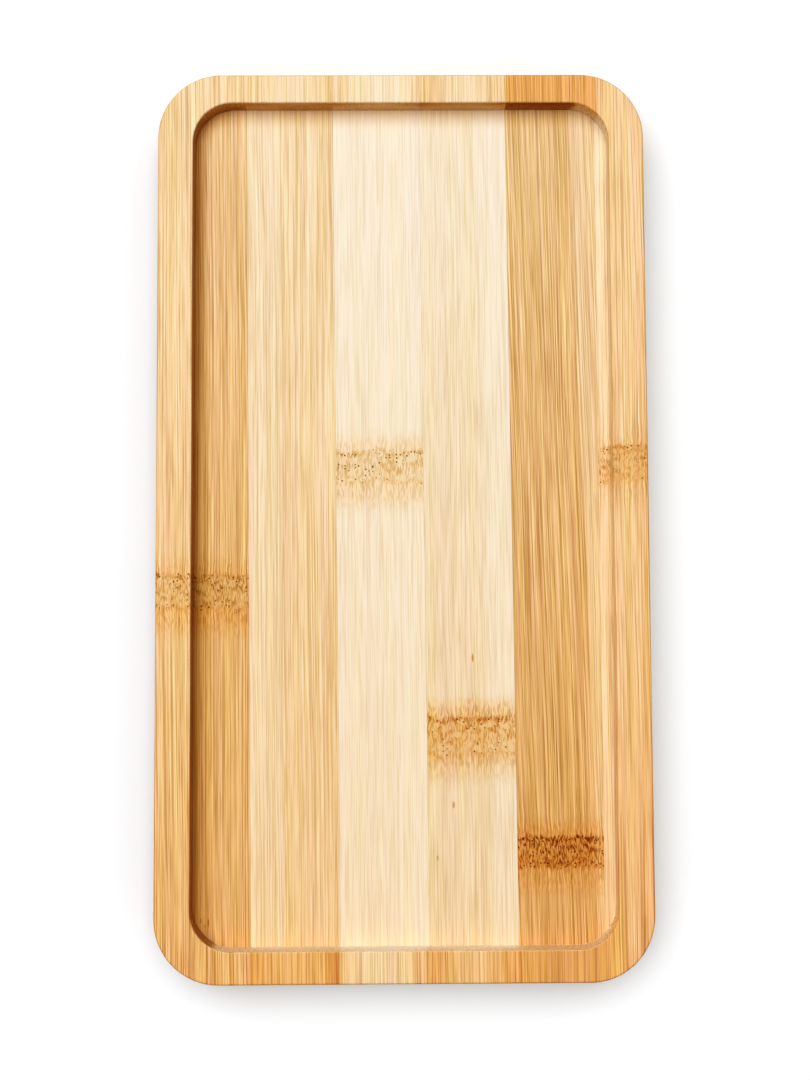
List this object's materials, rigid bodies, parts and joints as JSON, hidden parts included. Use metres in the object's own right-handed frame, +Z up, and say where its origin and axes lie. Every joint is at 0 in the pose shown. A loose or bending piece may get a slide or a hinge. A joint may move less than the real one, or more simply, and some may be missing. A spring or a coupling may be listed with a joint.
{
  "type": "serving tray",
  "caption": "Rectangular bamboo serving tray with rounded corners and a shallow flat recess routed into its top.",
  "frame": {"origin": "middle of the underside", "axes": "+X across the strips towards the narrow rim strip, +Y along the strips towards the far end, +Z up out of the recess"},
  "size_m": [0.13, 0.24, 0.012],
  "materials": {
    "tan_bamboo": "sanded, unvarnished",
    "honey_bamboo": "sanded, unvarnished",
    "cream_bamboo": "sanded, unvarnished",
    "pale_bamboo": "sanded, unvarnished",
    "amber_bamboo": "sanded, unvarnished",
    "golden_bamboo": "sanded, unvarnished"
  },
  "bodies": {
    "root": {"upper_strip_1": "tan_bamboo", "upper_strip_2": "honey_bamboo", "upper_strip_3": "cream_bamboo", "upper_strip_4": "pale_bamboo", "upper_strip_5": "amber_bamboo", "upper_strip_6": "golden_bamboo", "lower_strip_1": "golden_bamboo", "lower_strip_2": "amber_bamboo", "lower_strip_3": "pale_bamboo", "lower_strip_4": "cream_bamboo", "lower_strip_5": "honey_bamboo", "lower_strip_6": "tan_bamboo"}
  },
  "joints": []
}
